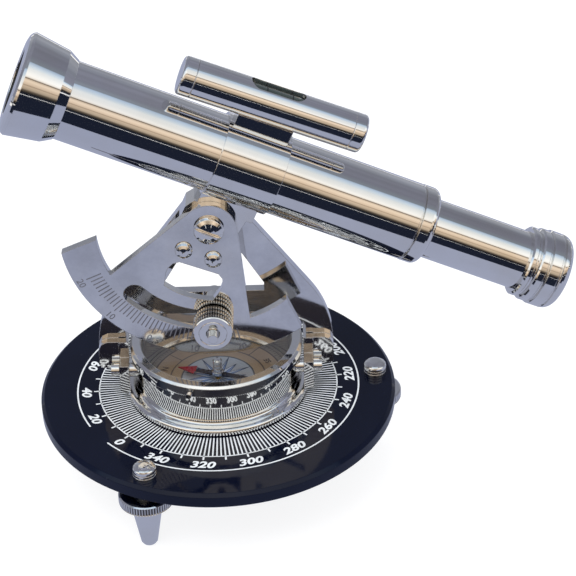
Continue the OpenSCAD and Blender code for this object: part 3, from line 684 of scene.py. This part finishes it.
half = 23.8
vial_r = 5.0
BUBBLE_AT = 1.0  # middle of the bubble and its two lines, along the tube
end = [
    (vial_r * math.cos(t), half - vial_r * 0.5 + vial_r * 0.5 * math.sin(t))
    for t in map(math.radians, range(0, 90, 15))
]
vial_profile = [(0.001, -half)] + [(r, -h) for r, h in reversed(end)] + end + [(0.001, half)]
verts, faces = turned(vial_profile, 64, on_level)
# The vial's near-black spirit is painted shade
vial = piece("vial_tube", verts, faces, "telescope", spirit(), smooth=True)
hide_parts("level_vial")
bubble = [(1.5 * math.sin(t), -3.4 * math.cos(t)) for t in map(math.radians, range(15, 180, 15))]
bubble = [(0.001, -3.4)] + bubble + [(0.001, 3.4)]
verts, faces = turned(bubble, 40, lambda x, y, h: on_level(x, vial_r - 0.72 + y * 0.45, h + BUBBLE_AT))
air = plain_stuff("bubble_air", (0.2, 0.24, 0.22), (0.13, 0.16, 0.15), 300, 0.05)
piece("vial_bubble", verts, faces, "telescope", air, smooth=True)
line = [(vial_r + r, h) for r, h in ((0.02, -0.18), (0.07, -0.18), (0.07, 0.18), (0.02, 0.18))]
for name, side in (("front", -1), ("rear", 1)):
    verts, faces = turned(line, 64, lambda x, y, h: on_level(x, y, h + BUBBLE_AT + side * 4.4))
    piece("vial_line_" + name, verts, faces, "telescope", ink("vial_line_ink", (0.01, 0.01, 0.01)))

# ---------------------------------------------------------------- cross-hairs on the reticle
reticle_low, reticle_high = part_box("reticle")


def on_reticle(u, v):
    p = (reticle_low + reticle_high) / 2 / MM - barrel_dir * 0.63 + barrel_up * v
    return (p.x, p.y + u, p.z)


hairs = Sheet(on_reticle)
for angle in (0, 90, 180, 270):
    hairs.ray(0, 9, angle, 0.08)
piece("reticle_hairs", hairs.verts, hairs.faces, "draw", ink("hair_ink", (0.01, 0.01, 0.01)))


# ---------------------------------------------------------------- floor, cards and light
def flat_card(name, x0, x1, y0, y1, z, material):
    mesh = bpy.data.meshes.new(name)
    mesh.from_pydata([(x0, y0, z), (x1, y0, z), (x1, y1, z), (x0, y1, z)], [], [(0, 1, 2, 3)])
    mesh.materials.append(material)
    ob = bpy.data.objects.new(name, mesh)
    scene.collection.objects.link(ob)
    return ob


def floor_paint():
    """Pale floor that glows a little, as bright as the photo's white ground."""
    s = Shader("floor_paint")
    grain = s.noise(30, 5, 0.65)
    s.feed("Base Color", s.two_tone(grain, 0.3, 0.7, (0.26, 0.26, 0.263), (0.25, 0.25, 0.253)))
    s.feed("Roughness", s.remap(grain, 0.3, 0.7, 0.75, 0.85))
    s.set("Emission Color", (1, 1, 1, 1))
    s.set("Emission Strength", 0.82)
    return s.material


flat_card("floor", -6, 6, -6, 6, -0.0002, floor_paint())


def glow(name, colour):
    """A studio card that gives its own, slightly uneven light."""
    m = bpy.data.materials.new(name)
    m.use_nodes = True
    t = m.node_tree
    t.nodes.remove(t.nodes["Principled BSDF"])
    e = t.nodes.new("ShaderNodeEmission")
    n = t.nodes.new("ShaderNodeTexNoise")
    n.inputs["Scale"].default_value = 3
    r = t.nodes.new("ShaderNodeValToRGB")
    r.color_ramp.elements[0].position = 0.35
    r.color_ramp.elements[1].position = 0.7
    r.color_ramp.elements[0].color = (*(c * 0.92 for c in colour), 1)
    r.color_ramp.elements[1].color = (*(c * 1.06 for c in colour), 1)
    t.links.new(n.outputs["Fac"], r.inputs[0])
    t.links.new(r.outputs[0], e.inputs["Color"])
    e.inputs["Strength"].default_value = 1.0
    t.links.new(e.outputs[0], t.nodes["Material Output"].inputs["Surface"])
    return m


def only_reflected(ob):
    """A studio card that shows only in polished surfaces."""
    ob.visible_camera = False
    ob.visible_diffuse = False
    ob.visible_shadow = False
    ob.visible_transmission = False


CARD_EDGE = -0.225  # y, in metres, where the black card ends and the lavender one starts
lavender = glow("card_lavender", (0.4, 0.435, 0.585))
only_reflected(flat_card("card_lavender", -2, 2, CARD_EDGE, 1.5, -0.0001, lavender))
black = glow("card_black", (0.012, 0.016, 0.032))
only_reflected(flat_card("card_black", -3, 3, -4, CARD_EDGE, -0.0001, black))

world = bpy.data.worlds.new("studio")
scene.world = world
world.use_nodes = True
w = world.node_tree
background = w.nodes["Background"]
direction = w.nodes.new("ShaderNodeTexCoord").outputs["Generated"]
split = w.nodes.new("ShaderNodeSeparateXYZ")
w.links.new(direction, split.inputs[0])


def world_math(operation, a, b=None):
    n = w.nodes.new("ShaderNodeMath")
    n.operation = operation
    for i, v in enumerate((a, b)):
        if isinstance(v, (int, float)):
            n.inputs[i].default_value = v
        elif v is not None:
            w.links.new(v, n.inputs[i])
    return n.outputs[0]


height = world_math("ARCTAN2", split.outputs["Z"], world_math("MULTIPLY", split.outputs["Y"], -1.0))
where = world_math("DIVIDE", height, math.pi)
sky = w.nodes.new("ShaderNodeValToRGB")
# Degrees from the horizon at the front, over the top, to the horizon behind, as polished surfaces see it
STOPS = (
    (0, (0.012, 0.016, 0.03)), (4, (0.02, 0.018, 0.018)), (8, (0.14, 0.11, 0.08)), (11, (0.5, 0.4, 0.3)),
    (17, (0.66, 0.52, 0.38)), (19, (0.4, 0.3, 0.22)), (21, (0.74, 0.58, 0.43)), (29, (0.98, 0.8, 0.62)),
    (33, (0.74, 0.6, 0.46)), (34.5, (0.2, 0.15, 0.11)), (36, (0.24, 0.19, 0.15)), (37.5, (0.95, 0.88, 0.8)),
    (42, (1.1, 1.08, 1.04)), (60, (1.02, 1.06, 1.08)), (67, (0.78, 0.9, 1.02)), (76, (0.56, 0.7, 0.9)),
    (78, (0.5, 0.63, 0.82)), (79.5, (0.28, 0.32, 0.38)), (100, (0.24, 0.25, 0.32)), (135, (0.22, 0.23, 0.29)),
    (150, (0.26, 0.28, 0.34)), (172, (0.36, 0.38, 0.44)), (180, (0.4, 0.42, 0.48)),
)
while len(sky.color_ramp.elements) < len(STOPS):
    sky.color_ramp.elements.new(0.5)
for e, (at, colour) in zip(sky.color_ramp.elements, STOPS):
    e.position = at / 180
    e.color = (*colour, 1)
w.links.new(where, sky.inputs[0])
room = w.nodes.new("ShaderNodeTexNoise")
room.inputs["Scale"].default_value = 2.2
room.inputs["Detail"].default_value = 1.0
w.links.new(direction, room.inputs["Vector"])
shade = w.nodes.new("ShaderNodeMapRange")
for i, v in enumerate((0.35, 0.65, 0.82, 1.12)):
    shade.inputs[i + 1].default_value = v
w.links.new(room.outputs["Fac"], shade.inputs[0])
varied = w.nodes.new("ShaderNodeVectorMath")
varied.operation = "SCALE"
w.links.new(sky.outputs[0], varied.inputs[0])
w.links.new(shade.outputs[0], varied.inputs["Scale"])
# Only glossy rays see the graded studio; the rest see a pale room
PALE_ROOM = (1.06, 1.07, 1.08, 1)
path = w.nodes.new("ShaderNodeLightPath")
chosen = w.nodes.new("ShaderNodeMix")
chosen.data_type = "RGBA"
chosen.inputs[6].default_value = PALE_ROOM
w.links.new(path.outputs["Is Glossy Ray"], chosen.inputs["Factor"])
w.links.new(varied.outputs[0], chosen.inputs[7])
w.links.new(chosen.outputs[2], background.inputs["Color"])
background.inputs["Strength"].default_value = 1.0

KEY_AT = (-0.25, -0.5, 0.95)
KEY_AIM = (0, 0, 0.07)  # a little above the base
key = bpy.data.lights.new("key", "AREA")
key.shape = "RECTANGLE"
key.size, key.size_y = 0.5, 0.35
key.energy = 3.0
lamp = bpy.data.objects.new("key", key)
lamp.location = KEY_AT
lamp.rotation_mode = "QUATERNION"
lamp.rotation_quaternion = (Vector(KEY_AIM) - lamp.location).to_track_quat("-Z", "Y")
lamp.visible_glossy = False
scene.collection.objects.link(lamp)

# ---------------------------------------------------------------- camera, at the photograph's viewing angle
EYE_AT = mm(25.91, -553.97, 430.76)
EYE_LENS = 118.75  # millimetres, on a 36 mm sensor
EYE_FORWARD = (0, 0.83762, -0.54625)
EYE_RIGHT = (0.99967, -0.01409, -0.0216)
eye = bpy.data.cameras.new("camera")
eye.lens = EYE_LENS
eye.sensor_width = 36
camera = bpy.data.objects.new("camera", eye)
forward = Vector(EYE_FORWARD).normalized()
right = Vector(EYE_RIGHT)
right = (right - forward * right.dot(forward)).normalized()
up = right.cross(forward)
turn = Matrix((right, up, -forward)).transposed().to_4x4()
camera.matrix_world = Matrix.Translation(EYE_AT) @ turn
eye.clip_start = 0.05
eye.clip_end = 20
scene.collection.objects.link(camera)
scene.camera = camera
scene.view_settings.view_transform = "Standard"
